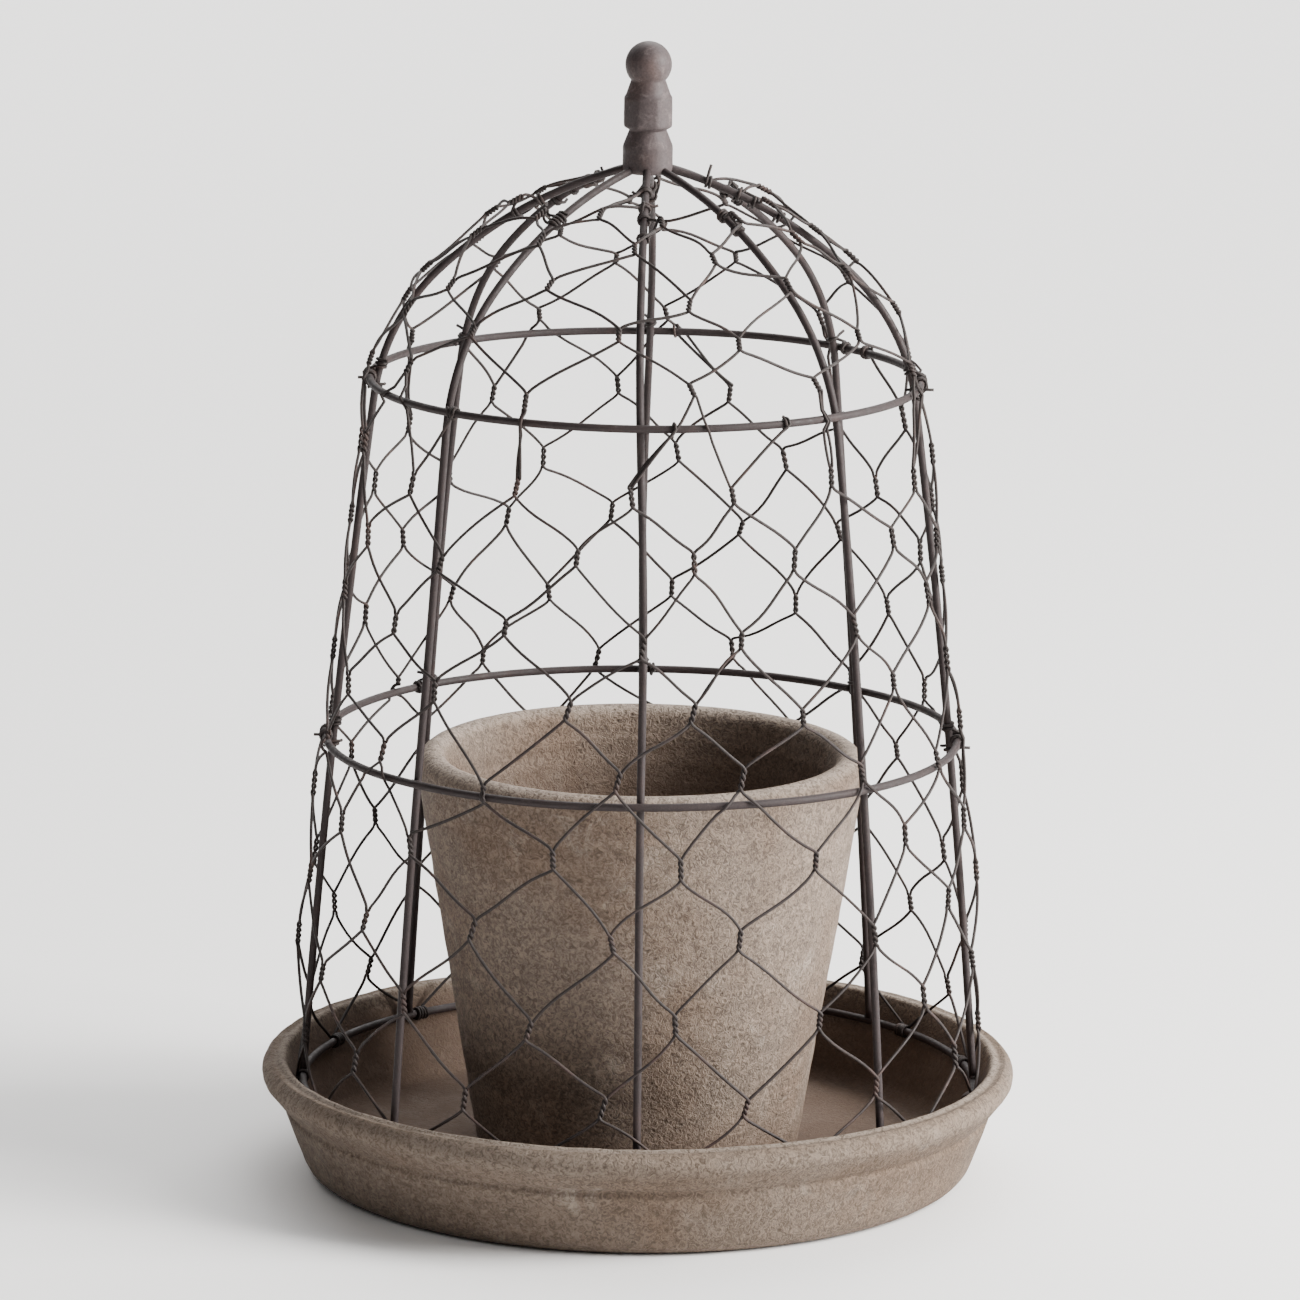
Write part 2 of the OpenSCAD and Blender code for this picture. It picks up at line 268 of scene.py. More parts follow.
def make_clay_group():
    group, given, made = new_group(
        "weathered_clay",
        [("Wash", "NodeSocketColor", (0.178, 0.138, 0.110, 1)),
         ("Bare Clay", "NodeSocketColor", (0.142, 0.100, 0.074, 1)),
         ("Lime", "NodeSocketColor", (0.36, 0.305, 0.255, 1)),
         ("Shade And Damp", "NodeSocketColor", (0.088, 0.057, 0.041, 1)),
         ("Grain", "NodeSocketFloat", 1.0)],
        FINISH_OUTPUTS)
    wash, bare, lime, shade_and_damp_colour = (given.outputs[name] for name in ("Wash", "Bare Clay", "Lime", "Shade And Damp"))
    where = group.nodes.new("ShaderNodeTexCoord").outputs["Object"]
    broad = noise_node(group, where, 16, 5, 0.6, 0.4)
    patches = noise_node(group, where, 75, 6, 0.65, 0.6)
    worms = noise_node(group, where, 560, 3, 0.6, 1.6)
    sand = noise_node(group, where, 1500, 3, 0.7)
    squeeze = group.nodes.new("ShaderNodeMapping")
    squeeze.inputs["Scale"].default_value = (6, 6, 260)
    group.links.new(where, squeeze.inputs["Vector"])
    throwing = noise_node(group, squeeze.outputs["Vector"], 1.0, 3, 0.5)
    pits = group.nodes.new("ShaderNodeTexVoronoi")
    pits.inputs["Scale"].default_value = 240
    group.links.new(where, pits.inputs["Vector"])
    pit_mask = stretch_node(group, pits.outputs["Distance"], 0.08, 0.20, 1.0, 0.0)
    worn = attribute_node(group, "worn")
    shade_and_damp = attribute_node(group, "shade_and_damp")

    colour = mix_node(group, stretch_node(group, broad, 0.40, 0.70), wash, bare)
    colour = mix_node(group, stretch_node(group, patches, 0.55, 0.80, 0.0, 0.5), colour, lime)
    grain = stretch_node(group, worms, 0.32, 0.68, 0.62, 1.42)
    colour = shaded_by(group, colour, maths_node(group, "POWER", grain, given.outputs["Grain"]))
    colour = mix_node(group, stretch_node(group, sand, 0.60, 0.76, 0.0, 0.35), colour, lime)
    # Dark colour painted into the pits: painted shade.
    colour = mix_node(group, maths_node(group, "MULTIPLY", pit_mask, 0.3), colour, (0.06, 0.042, 0.03))
    colour = shaded_by(group, colour, stretch_node(group, throwing, 0.30, 0.70, 0.92, 1.07))
    rubbed = maths_node(group, "MULTIPLY", worn, stretch_node(group, worms, 0.36, 0.56, 0.15, 1.0))
    colour = mix_node(group, rubbed, colour, lime)
    # Painted shade inside the pot and the saucer, partly a damp stain, and a darkening towards the pot's foot
    # all darken the colour here.
    shade_and_damp_amount = maths_node(group, "MULTIPLY", shade_and_damp, stretch_node(group, patches, 0.25, 0.75, 1.0, 0.82))
    colour = mix_node(group, shade_and_damp_amount, colour, shade_and_damp_colour)
    group.links.new(colour, made.inputs["Color"])

    height = maths_node(group, "ADD", maths_node(group, "MULTIPLY", worms, 0.9),
                        maths_node(group, "MULTIPLY", sand, 0.25))
    height = maths_node(group, "ADD", height, maths_node(group, "MULTIPLY", throwing, 0.4))
    height = maths_node(group, "SUBTRACT", height, maths_node(group, "MULTIPLY", pit_mask, 0.3))
    group.links.new(height, made.inputs["Height"])
    group.links.new(stretch_node(group, patches, 0.3, 0.8, 0.97, 0.82), made.inputs["Roughness"])
    return group


clay_group = make_clay_group()
print("clay group nodes:", len(clay_group.nodes))

# %% [markdown]
# ## Brown coat on the metal
#
# The frame, finial and netting are dipped in one matte brown coat with a little rust bleeding through. On
# wire only the broad variation shows, and the cast finial shows grain as well. So the coat is a second
# group, with the size of its mottling as an input: coarse for the finial and fine for wire.

# %% The coat group


def make_coat_group():
    group, given, made = new_group(
        "brown_coat",
        [("Coat", "NodeSocketColor", (0.055, 0.041, 0.041, 1)),
         ("Rust", "NodeSocketColor", (0.080, 0.044, 0.036, 1)),
         ("Dust", "NodeSocketColor", (0.16, 0.13, 0.126, 1)),
         ("Mottle", "NodeSocketFloat", 1.0)],
        FINISH_OUTPUTS)
    coat, rust, dust = (given.outputs[name] for name in ("Coat", "Rust", "Dust"))
    place = group.nodes.new("ShaderNodeTexCoord").outputs["Object"]
    scaled = group.nodes.new("ShaderNodeVectorMath")
    scaled.operation = "SCALE"
    group.links.new(place, scaled.inputs[0])
    group.links.new(given.outputs["Mottle"], scaled.inputs["Scale"])
    where = scaled.outputs["Vector"]
    broad = noise_node(group, where, 45, 4, 0.6)
    mottle = noise_node(group, where, 260, 5, 0.65, 0.5)
    grain = noise_node(group, where, 1400, 3, 0.6)
    colour = mix_node(group, stretch_node(group, broad, 0.50, 0.74, 0.0, 0.5), coat, rust)
    colour = mix_node(group, stretch_node(group, mottle, 0.50, 0.72, 0.0, 0.55), colour, dust)
    colour = shaded_by(group, colour, stretch_node(group, grain, 0.3, 0.7, 0.78, 1.18))
    group.links.new(colour, made.inputs["Color"])
    group.links.new(stretch_node(group, mottle, 0.3, 0.75, 0.52, 0.80), made.inputs["Roughness"])
    height = maths_node(group, "ADD", mottle, maths_node(group, "MULTIPLY", grain, 0.35))
    group.links.new(height, made.inputs["Height"])
    return group


coat_group = make_coat_group()
print("coat group nodes:", len(coat_group.nodes))

# %% [markdown]
# ## Five finishes from two groups
#
# Each material places one of the groups, with its own tints where they differ from the group's. The frame
# and the netting get a darker copy of the finial's coat, which is painted shade on the thin wire.

# %% Finishes
SAUCER_TINTS = {"Wash": (0.130, 0.099, 0.077, 1), "Bare Clay": (0.108, 0.076, 0.055, 1),
                "Lime": (0.24, 0.20, 0.165, 1), "Grain": 0.9}
# The frame's and the netting's coat is darker than the finial's: painted shade on thin wire.
FRAME_SHADED_TINTS = {"Coat": (0.024, 0.0165, 0.0165, 1), "Rust": (0.042, 0.023, 0.020, 1),
               "Dust": (0.052, 0.039, 0.038, 1), "Mottle": 1.6}
NETTING_SHADED_TINTS = {"Coat": (0.021, 0.015, 0.014, 1), "Dust": (0.046, 0.035, 0.032, 1), "Mottle": 2.0}


def finish_from(name, group, values, specular, bump_strength, bump_distance):
    material = bpy.data.materials.new(name)
    material.use_nodes = True
    tree = material.node_tree
    shader = tree.nodes["Principled BSDF"]
    shader.inputs["Specular IOR Level"].default_value = specular
    group_node = tree.nodes.new("ShaderNodeGroup")
    group_node.node_tree = group
    for socket, value in values.items():
        group_node.inputs[socket].default_value = value
    tree.links.new(group_node.outputs["Color"], shader.inputs["Base Color"])
    tree.links.new(group_node.outputs["Roughness"], shader.inputs["Roughness"])
    bump = tree.nodes.new("ShaderNodeBump")
    bump.inputs["Strength"].default_value = bump_strength
    bump.inputs["Distance"].default_value = bump_distance
    tree.links.new(group_node.outputs["Height"], bump.inputs["Height"])
    tree.links.new(bump.outputs["Normal"], shader.inputs["Normal"])
    return material


pot_clay = finish_from("pot_clay", clay_group, {"Grain": 1.0}, 0.25, 0.8, 0.001)
saucer_clay = finish_from("saucer_clay", clay_group, SAUCER_TINTS, 0.25, 0.65, 0.001)
finial_coat = finish_from("finial_coat", coat_group, {"Mottle": 1.0}, 0.35, 0.35, 0.0004)
frame_coat = finish_from("frame_coat", coat_group, FRAME_SHADED_TINTS, 0.3, 0.3, 0.0003)
netting_coat = finish_from("netting_coat", coat_group, NETTING_SHADED_TINTS, 0.3, 0.2, 0.0002)
print("finishes:", [m.name for m in (pot_clay, saucer_clay, finial_coat, frame_coat, netting_coat)])

# %% [markdown]
# ## Turned pieces
#
# A saucer, a pot and a finial are all turned shapes: one outline, spun round an axis. The spin operator
# makes each from its outline. Clay that was thrown by hand is never quite round, so the finished mesh is
# pushed about by a fraction of a millimetre. That is done in the mesh, not as bump, so that it shows on the
# outline too. Two numbers are kept on each point for the clay finish to read: how worn it is, and how much
# its colour is painted darker, by painted shade in the hollows, by damp staining and towards the pot's foot.

# %% Outline helpers


def arc(centre, radius, start, end, steps):
    angles = [math.radians(start + (end - start) * i / steps) for i in range(steps + 1)]
    return [(centre[0] + radius * math.cos(a), centre[1] + radius * math.sin(a)) for a in angles]


def divided(outline, longest):
    points = [outline[0]]
    for (r0, z0), (r1, z1) in zip(outline, outline[1:]):
        parts = max(1, math.ceil(math.hypot(r1 - r0, z1 - z0) / longest))
        points += [(r0 + (r1 - r0) * i / parts, z0 + (z1 - z0) * i / parts) for i in range(1, parts + 1)]
    return points


def softened(outline, radius, steps=4):
    points = [outline[0]]
    for before, corner, after in zip(outline, outline[1:], outline[2:]):
        a, c, b = (Vector((*p, 0)) for p in (before, corner, after))
        cut = min(radius, (a - c).length * 0.45, (b - c).length * 0.45)
        start, end = c + (a - c).normalized() * cut, c + (b - c).normalized() * cut
        for i in range(steps + 1):
            t = i / steps
            p = start * (1 - t) ** 2 + c * 2 * t * (1 - t) + end * t * t
            points.append((p.x, p.y))
    return points + [outline[-1]]


def turned(name, outline, steps, material, shape=None, marks=None):
    bm = bmesh.new()
    verts = [bm.verts.new((r, 0, z)) for r, z in outline]
    edges = [bm.edges.new(pair) for pair in zip(verts, verts[1:])]
    bmesh.ops.spin(bm, geom=verts + edges, axis=(0, 0, 1), cent=(0, 0, 0), steps=steps, angle=math.tau,
                   use_merge=True)
    bmesh.ops.remove_doubles(bm, verts=bm.verts, dist=1e-6)
    bmesh.ops.recalc_face_normals(bm, faces=bm.faces)
    for mark, amount in (marks or {}).items():
        layer = bm.verts.layers.float.new(mark)
        for vert in bm.verts:
            vert[layer] = amount(math.hypot(vert.co.x, vert.co.y), vert.co.z)
    if shape:
        for vert in bm.verts:
            vert.co = shape(vert.co)
    mesh = bpy.data.meshes.new(name)
    bm.to_mesh(mesh)
    bm.free()
    mesh.shade_smooth()
    mesh.materials.append(material)
    piece = bpy.data.objects.new(name, mesh)
    bpy.context.collection.objects.link(piece)
    return piece


def placed(piece, body, slot, *nodes):
    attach(piece, body)
    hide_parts(*nodes)
    print(piece.name, "faces:", len(piece.data.polygons))
    return piece


# %% [markdown]
# ## Saucer
#
# The saucer is a shallow dish of even wall that leans outwards. Its rim is a band that overhangs the wall:
# rounded at the top, sloping in below to a pressed groove. A thin lip runs round the inner edge, where the
# wash is rubbed down to pale clay. Inside, its colour is painted darker: partly painted shade, partly a stain
# from standing water. The cloche's base hoop is held by the leaning wall.

# %% Saucer
_, saucer_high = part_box("saucer")
pot_low, pot_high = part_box("pot")
SAUCER_R = saucer_high.x
SAUCER_H = saucer_high.z
FLOOR_Z = pot_low.z
RIM_WIDTH = 8.2 * MM
RIM_BAND = 13.5 * MM
RIM_STEP = 6.2 * MM
RIM_OUTER = 4.5 * MM
LIP = 1.6 * MM
FOOT_EDGE = 8.5 * MM
INNER_CORNER = 6 * MM
WALL_LEAN = 0.39
lip_z = SAUCER_H - LIP
lip_r = SAUCER_R - RIM_WIDTH
lean = math.degrees(math.atan(WALL_LEAN))


def smooth(value, low, high):
    t = min(1.0, max(0.0, (value - low) / (high - low)))
    return t * t * (3 - 2 * t)


def near(value, centre, width):
    return math.exp(-((value - centre) / width) ** 2)


def uneven(co, seed, amount, size):
    return amount * noise.noise(co / size + Vector((seed, seed * 0.7, -seed)))


def saucer_outline():
    body_r, band_z = SAUCER_R - RIM_STEP, SAUCER_H - RIM_BAND
    foot_r = body_r - WALL_LEAN * band_z - FOOT_EDGE * math.tan(math.radians((90 - lean) / 2))
    inner_r = lip_r - WALL_LEAN * (lip_z - FLOOR_Z - INNER_CORNER) - INNER_CORNER
    outline = [(0, 0.6 * MM), (foot_r - 9 * MM, 0.5 * MM), (foot_r - 7 * MM, 0)]
    outline += arc((foot_r, FOOT_EDGE), FOOT_EDGE, -90, -lean, 10)
    outline += [(body_r - 1.2 * MM, band_z - 2.6 * MM), (body_r - 1.9 * MM, band_z - 1.3 * MM)]
    outline += [(body_r - 1.2 * MM, band_z - 0.2 * MM), (body_r + 0.2 * MM, band_z + 0.6 * MM)]
    outline += arc((SAUCER_R - RIM_OUTER, SAUCER_H - RIM_OUTER), RIM_OUTER, -24, 68, 12)
    outline += [(lip_r + 3.4 * MM, SAUCER_H - 0.7 * MM)]
    outline += arc((lip_r + LIP, lip_z), LIP, 60, 180 - lean, 8)
    outline += arc((inner_r, FLOOR_Z + INNER_CORNER), INNER_CORNER, -lean, -90, 8)
    outline += [(0, FLOOR_Z)]
    return divided(softened(outline, 0.9 * MM, 3), 1.9 * MM)


def saucer_shape(co):
    out = Vector((co.x, co.y, 0))
    radius = out.length
    if radius < 1e-5:
        return co
    out /= radius
    rim = smooth(co.z, FLOOR_Z, SAUCER_H)
    push = uneven(co, 3.1, 0.5 * MM, 60 * MM) * rim + uneven(co, 8.4, 0.18 * MM, 7 * MM)
    push -= 0.3 * MM * smooth(radius, SAUCER_R - 6 * MM, SAUCER_R)
    sag = min(0.0, uneven(co, 5.7, 0.8 * MM, 60 * MM))
    lift = sag * rim + uneven(co, 2.9, 0.2 * MM, 5 * MM) * rim - 0.12 * MM * rim
    clear = 1.0 if co.z > 1 * MM else 0.0
    return co + (out * push + Vector((0, 0, lift))) * clear


def saucer_worn(radius, z):
    lip = near(radius, lip_r + LIP, 2.2 * MM) * smooth(z, SAUCER_H - 3 * MM, SAUCER_H)
    corner = near(radius, SAUCER_R, 2.5 * MM) * near(z, SAUCER_H - RIM_OUTER, 5 * MM)
    return 0.75 * lip + 0.25 * corner


def saucer_shade_and_damp(radius, z):
    # The saucer's inside below the rim is painted darker: partly painted shade, partly a stain from standing
    # water.
    wall_r = lip_r - WALL_LEAN * (lip_z - z)
    if z < FLOOR_Z - 0.1 * MM or radius > wall_r + 0.6 * MM:
        return 0.0
    return 0.86 * smooth(SAUCER_H - z, 1.5 * MM, 7 * MM)


saucer_marks = {"worn": saucer_worn, "shade_and_damp": saucer_shade_and_damp}
saucer = turned("saucer_dish", saucer_outline(), 240, saucer_clay, saucer_shape, saucer_marks)
placed(saucer, "saucer", "saucer_clay", "saucer")

# %% [markdown]
# ## Pot
#
# The pot is a plain thrown cone with a thick, soft rim and faint rings left by the thrower's fingers. It is
# spun like the saucer. Its outline starts and ends at the edge of the drain hole and not on the axis, so
# the floor has a real hole with a rounded mouth.

# %% Pot
POT_WALL = 9.5 * MM
POT_FLOOR = 9 * MM
DRAIN_R = 6 * MM
DRAIN_EDGE = 1.2 * MM
DRAIN_MOUTH = 1.5 * MM
FOOT_ROUND = 3 * MM
FLOOR_ROUND = 8 * MM
POT_R = pot_high.x
POT_TOP = pot_high.z
POT_FOOT_R = 51.5 * MM


def pot_outline():
    round_r = POT_WALL / 2
    slope = (POT_R - POT_FOOT_R) / (POT_TOP - FLOOR_Z - round_r)
    tilt = math.degrees(math.atan(slope))
    floor_top = FLOOR_Z + POT_FLOOR
    inner_r = POT_FOOT_R + slope * (POT_FLOOR + FLOOR_ROUND) - POT_WALL - FLOOR_ROUND
    outline = arc((DRAIN_R + DRAIN_EDGE, FLOOR_Z + DRAIN_EDGE), DRAIN_EDGE, -180, -90, 4)
    outline += arc((POT_FOOT_R - FOOT_ROUND, FLOOR_Z + FOOT_ROUND), FOOT_ROUND, -90, -tilt, 6)
    outline += arc((POT_R - round_r, POT_TOP - round_r), round_r, -tilt, 180 - tilt, 16)
    outline += arc((inner_r, floor_top + FLOOR_ROUND), FLOOR_ROUND, -tilt, -90, 8)
    outline += arc((DRAIN_R + DRAIN_MOUTH, floor_top - DRAIN_MOUTH), DRAIN_MOUTH, 90, 180, 4)
    outline += [outline[0]]
    return divided(outline, 2.0 * MM)


def pot_shape(co):
    out = Vector((co.x, co.y, 0))
    radius = out.length
    out /= radius
    up = (co.z - FLOOR_Z) / (POT_TOP - FLOOR_Z)
    ring = math.sin(co.z / (2.9 * MM) + 0.8 * math.sin(math.atan2(co.y, co.x) + co.z * 40))
    push = uneven(co, 1.3, 0.55 * MM, 55 * MM) * up + uneven(co, 6.2, 0.2 * MM, 8 * MM) + 0.07 * MM * ring
    push -= 0.3 * MM if radius > POT_R - POT_WALL * 1.2 and up > 0.9 else 0
    lift = min(0.0, uneven(co, 2.2, 0.5 * MM, 50 * MM)) * max(0.0, up - 0.6)
    return co + (out * push if up > 0.02 else Vector()) + Vector((0, 0, lift))


def pot_worn(radius, z):
    return 0.5 * smooth(z, POT_TOP - 3 * MM, POT_TOP)


def pot_shade_and_damp(radius, z):
    # Inside the pot the colour is painted darker, more so further down: painted shade. Outside, it is painted
    # darker towards the foot.
    outside_r = POT_FOOT_R + (POT_R - POT_FOOT_R) * (z - FLOOR_Z) / (POT_TOP - FLOOR_Z)
    inside = 1.0 if radius < outside_r - POT_WALL * 0.6 and z > FLOOR_Z + 2 * MM else 0.0
    depth = POT_TOP - z
    painted_shade_inside = (0.35 + 0.45 * smooth(depth, 12 * MM, 30 * MM)) * smooth(depth, 2 * MM, 12 * MM)
    darker_to_foot = 0.35 * smooth(z, FLOOR_Z + 26 * MM, FLOOR_Z)
    return max(inside * painted_shade_inside, darker_to_foot)


pot_marks = {"worn": pot_worn, "shade_and_damp": pot_shade_and_damp}
pot = turned("pot_wall", pot_outline(), 240, pot_clay, pot_shape, pot_marks)
placed(pot, "pot", "pot_clay", "pot")

# %% [markdown]
# ## Finial
#
# The finial is a small turned casting: a ball on a neck, a flare into a middle barrel, a groove, and a cone
# into the lower barrel that the ribs plug into. Its edges are softened by the coat, and the middle barrel
# carries eight faint flats. The flats are pressed in after the spin, by pulling each point in towards an
# octagon.

# %% Finial
FINIAL_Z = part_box("finial")[0].z
BARREL_R = 7.9 * MM
GROOVE_R = 6.0 * MM
NECK_R = 5.5 * MM
BALL_R = 7.35 * MM
LOWER_BARREL = 8.7 * MM
CONE = 4.8 * MM
MIDDLE_BARREL = 11.2 * MM
FLARE = 4.7 * MM
FLATS = 8
FLAT_DEPTH = 0.45


def finial_outline():
    groove_z = FINIAL_Z + LOWER_BARREL + CONE
    barrel_top = groove_z + MIDDLE_BARREL
    neck_z = barrel_top + FLARE
    neck_angle = math.degrees(math.acos(NECK_R / BALL_R))
    ball_z = neck_z + BALL_R * math.sin(math.radians(neck_angle))
    body = [(0, FINIAL_Z + 0.2 * MM), (BARREL_R - 0.9 * MM, FINIAL_Z + 0.2 * MM),
            (BARREL_R, FINIAL_Z + 1.2 * MM), (BARREL_R, FINIAL_Z + LOWER_BARREL),
            (GROOVE_R, groove_z), (GROOVE_R, groove_z + 0.4 * MM),
            (BARREL_R, groove_z + 1.5 * MM), (BARREL_R, barrel_top - 0.8 * MM),
            (BARREL_R - 0.8 * MM, barrel_top), (NECK_R, neck_z)]
    ball = arc((0, ball_z), BALL_R, -neck_angle, 90, 24)
    return divided(softened(body, 0.7 * MM), 0.6 * MM) + ball[1:]


def finial_shape(co):
    out = Vector((co.x, co.y, 0))
    radius = out.length
    if radius < 1e-5:
        return co
    out /= radius
    groove_z = FINIAL_Z + LOWER_BARREL + CONE
    middle = groove_z + MIDDLE_BARREL / 2 + 0.6 * MM
    closeness = max(0.0, 1 - abs(co.z - middle) / (MIDDLE_BARREL * 0.62))
    sector = math.tau / FLATS
    angle = (math.atan2(co.y, co.x) + sector / 2) % sector - sector / 2
    flat_r = BARREL_R * math.cos(sector / 2) / math.cos(angle)
    press = min(0.0, flat_r - radius) * FLAT_DEPTH * min(1.0, closeness * 3)
    return co + out * (press + uneven(co, 4.4, 0.10 * MM, 5 * MM) - 0.05 * MM)


finial = turned("finial_turning", finial_outline(), 96, finial_coat, finial_shape)
placed(finial, "cloche", "finial_iron", "finial")

# %% [markdown]
# ## The line of a rib
#
# Each rib is one wire in three sweeps: a side that bows out by a millimetre or two, a tight bend over the
# shoulder, and a long easy curve into the finial. Three arcs that meet without a kink describe it, and the
# netting follows the same line, so the arcs are worked out once. A length along the rib, from its foot, is
# the coordinate that everything else uses: the tilt there and the place there both follow from it.

# %% Rib line
base_low, base_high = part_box("base_hoop")
lower_low, lower_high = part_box("lower_hoop")
upper_low, upper_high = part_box("upper_hoop")
WIRE_R = (base_high.z - base_low.z) / 2
BASE_R = base_high.x - WIRE_R
BASE_Z = (base_low.z + base_high.z) / 2
SHOULDER_R = 85.2 * MM
SHOULDER_Z = 250 * MM
SIDE_BOW = 1.5 * MM
BEND_R = 68 * MM
CROWN_TILT = math.radians(46)
RIB_END = (5.0 * MM, 323.7 * MM)
RIBS = 8
LOWER_SLOPE = 0.1
UPPER_SLOPE = 0.2


def outward(tilt):
    return Vector((math.cos(tilt), math.sin(tilt)))


rib_foot = Vector((BASE_R, BASE_Z + WIRE_R))
shoulder = Vector((SHOULDER_R, SHOULDER_Z))
chord = (shoulder - rib_foot).length
side_r = (chord * chord / 4 + SIDE_BOW * SIDE_BOW) / (2 * SIDE_BOW)
half_turn = math.asin(chord / (2 * side_r))
chord_tilt = math.atan2(rib_foot.x - shoulder.x, shoulder.y - rib_foot.y)
shoulder_tilt = chord_tilt + half_turn
side_centre = shoulder - outward(shoulder_tilt) * side_r
bend_centre = shoulder - outward(shoulder_tilt) * BEND_R
crown_start = bend_centre + outward(CROWN_TILT) * BEND_R
crown_chord = Vector(RIB_END) - crown_start
crown_r = -crown_chord.length_squared / (2 * crown_chord.dot(outward(CROWN_TILT)))
crown_centre = crown_start - outward(CROWN_TILT) * crown_r
to_end = Vector(RIB_END) - crown_centre
end_tilt = math.atan2(to_end.y, to_end.x)
side_l = side_r * half_turn * 2
bend_l = BEND_R * (CROWN_TILT - shoulder_tilt)
rib_l = side_l + bend_l + crown_r * (end_tilt - CROWN_TILT)


def rib_line(length):
    """The rib's (radius, height) and its tilt from upright, at a length from its foot."""
    if length < side_l:
        tilt = chord_tilt - half_turn + length / side_r
        return side_centre + outward(tilt) * side_r, tilt
    if length < side_l + bend_l:
        tilt = shoulder_tilt + (length - side_l) / BEND_R
        return bend_centre + outward(tilt) * BEND_R, tilt
    tilt = CROWN_TILT + (length - side_l - bend_l) / crown_r
    return crown_centre + outward(tilt) * crown_r, tilt


def axes_at(angle, length):
    """Directions round the cloche, out from it and up along it, at an angle in degrees from the front rib."""
    tilt = rib_line(length)[1]
    a = math.radians(angle)
    around = Vector((math.cos(a), math.sin(a), 0))
    level = Vector((math.sin(a), -math.cos(a), 0))
    out = level * math.cos(tilt) + Vector((0, 0, math.sin(tilt)))
    up = Vector((0, 0, math.cos(tilt))) - level * math.sin(tilt)
    return around, out, up


def on_cloche(angle, length, off=0.0):
    (radius, height), _ = rib_line(length)
    a = math.radians(angle)
    point = Vector((radius * math.sin(a), -radius * math.cos(a), height))
    return point + axes_at(angle, length)[1] * off


def length_at(height):
    low, high = 0.0, rib_l
    for _ in range(40):
        middle = (low + high) / 2
        low, high = (middle, high) if rib_line(middle)[0].y < height else (low, middle)
    return low


def crossing_length(low, high, slope):
    """The length along a rib where a hoop touches its outside, which is a little below the hoop's middle."""
    return length_at((low.z + high.z) / 2 - WIRE_R * 2 * slope)


lower_l = crossing_length(lower_low, lower_high, LOWER_SLOPE)
upper_l = crossing_length(upper_low, upper_high, UPPER_SLOPE)
rib_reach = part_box("rib_3")[1].x
print("rib length in mm:", round(rib_l / MM, 1))
print("error at its foot in mm:", round((rib_reach - BASE_R - WIRE_R) / MM, 3))

# %% [markdown]
# ## Wire
#
# All wire is made the same way: a curve through points, given thickness, then turned into a mesh. A curve
# keeps a wire's thickness even round every bend, which spinning or extruding rings by hand would not. Heavy
# wire gets sixteen sides and the thin netting gets six, because the netting has many more turns and each is
# tiny.

# %% Wire helper


def wire_piece(name, paths, radius, roundness, material, closed=False):
    curve = bpy.data.curves.new(name + "_line", "CURVE")
    curve.dimensions = "3D"
    curve.bevel_depth = radius
    curve.bevel_resolution = roundness
    curve.use_fill_caps = True
    for path in paths:
        spline = curve.splines.new("POLY")
        spline.points.add(len(path) - 1)
        for point, place in zip(spline.points, path):
            point.co = (*place, 1)
        spline.use_cyclic_u = closed
    line = bpy.data.objects.new(name + "_line", curve)
    bpy.context.collection.objects.link(line)
    depsgraph = bpy.context.evaluated_depsgraph_get()
    mesh = bpy.data.meshes.new_from_object(line.evaluated_get(depsgraph))
    bpy.data.objects.remove(line)
    bpy.data.curves.remove(curve)
    bm = bmesh.new()
    bm.from_mesh(mesh)
    bmesh.ops.remove_doubles(bm, verts=bm.verts, dist=1e-7)
    bmesh.ops.recalc_face_normals(bm, faces=bm.faces)
    bm.to_mesh(mesh)
    bm.free()
    mesh.name = name
    mesh.shade_smooth()
    mesh.materials.clear()
    mesh.materials.append(material)
    piece = bpy.data.objects.new(name, mesh)
    bpy.context.collection.objects.link(piece)
    return piece


# %% [markdown]
# ## Ribs
#
# The ribs were bent by hand over a former, so none is perfect. Each gets its own slight sideways wander and
# bow, which fades to nothing at its foot and at the finial, where it is held. The finial was pressed on a
# degree or so out of line as well. So the whole crown is turned a little, and the front and back ribs don't
# line up.

# %% Ribs
RIB_POINTS = 110
CROWN_TWIST = 1.5


def rib_angle(index, length):
    return 45 * index - CROWN_TWIST * smooth(length, 150 * MM, 290 * MM)


def rib_path(index):
    points = []
    for i in range(RIB_POINTS + 1):
        length = rib_l * i / RIB_POINTS
        angle = rib_angle(index, length)
        free = math.sin(math.pi * i / RIB_POINTS)
        wander = noise.noise(Vector((index * 7.3, length * 9, 0)))
        bow = noise.noise(Vector((index * 3.1, length * 11, 5)))
        around, out, _ = axes_at(angle, length)
        push = around * wander * free * 0.7 * MM + out * bow * free * 0.22 * MM
        points.append(on_cloche(angle, length) + push)
    return points


for index in range(RIBS):
    rib = wire_piece(f"rib_wire_{index + 1}", [rib_path(index)], WIRE_R, 6, frame_coat)
    placed(rib, "cloche", "frame_wire", f"rib_{index + 1}")

# %% [markdown]
# ## Hoops and welds
#
# The hoops are rings of the same wire. The lower and upper ones lie outside the ribs, and every crossing is
# tacked with a small bead of weld, thickened by the coat. A bead is a sphere squashed into the corner
# between the wires, one on each side of the rib.

# %% Hoops and welds
HOOP_POINTS = 160


def hoop_point(centre_r, height, angle, out=0.0, up=0.0):
    a = math.radians(angle)
    return Vector(((centre_r + out) * math.sin(a), -(centre_r + out) * math.cos(a), height + up))


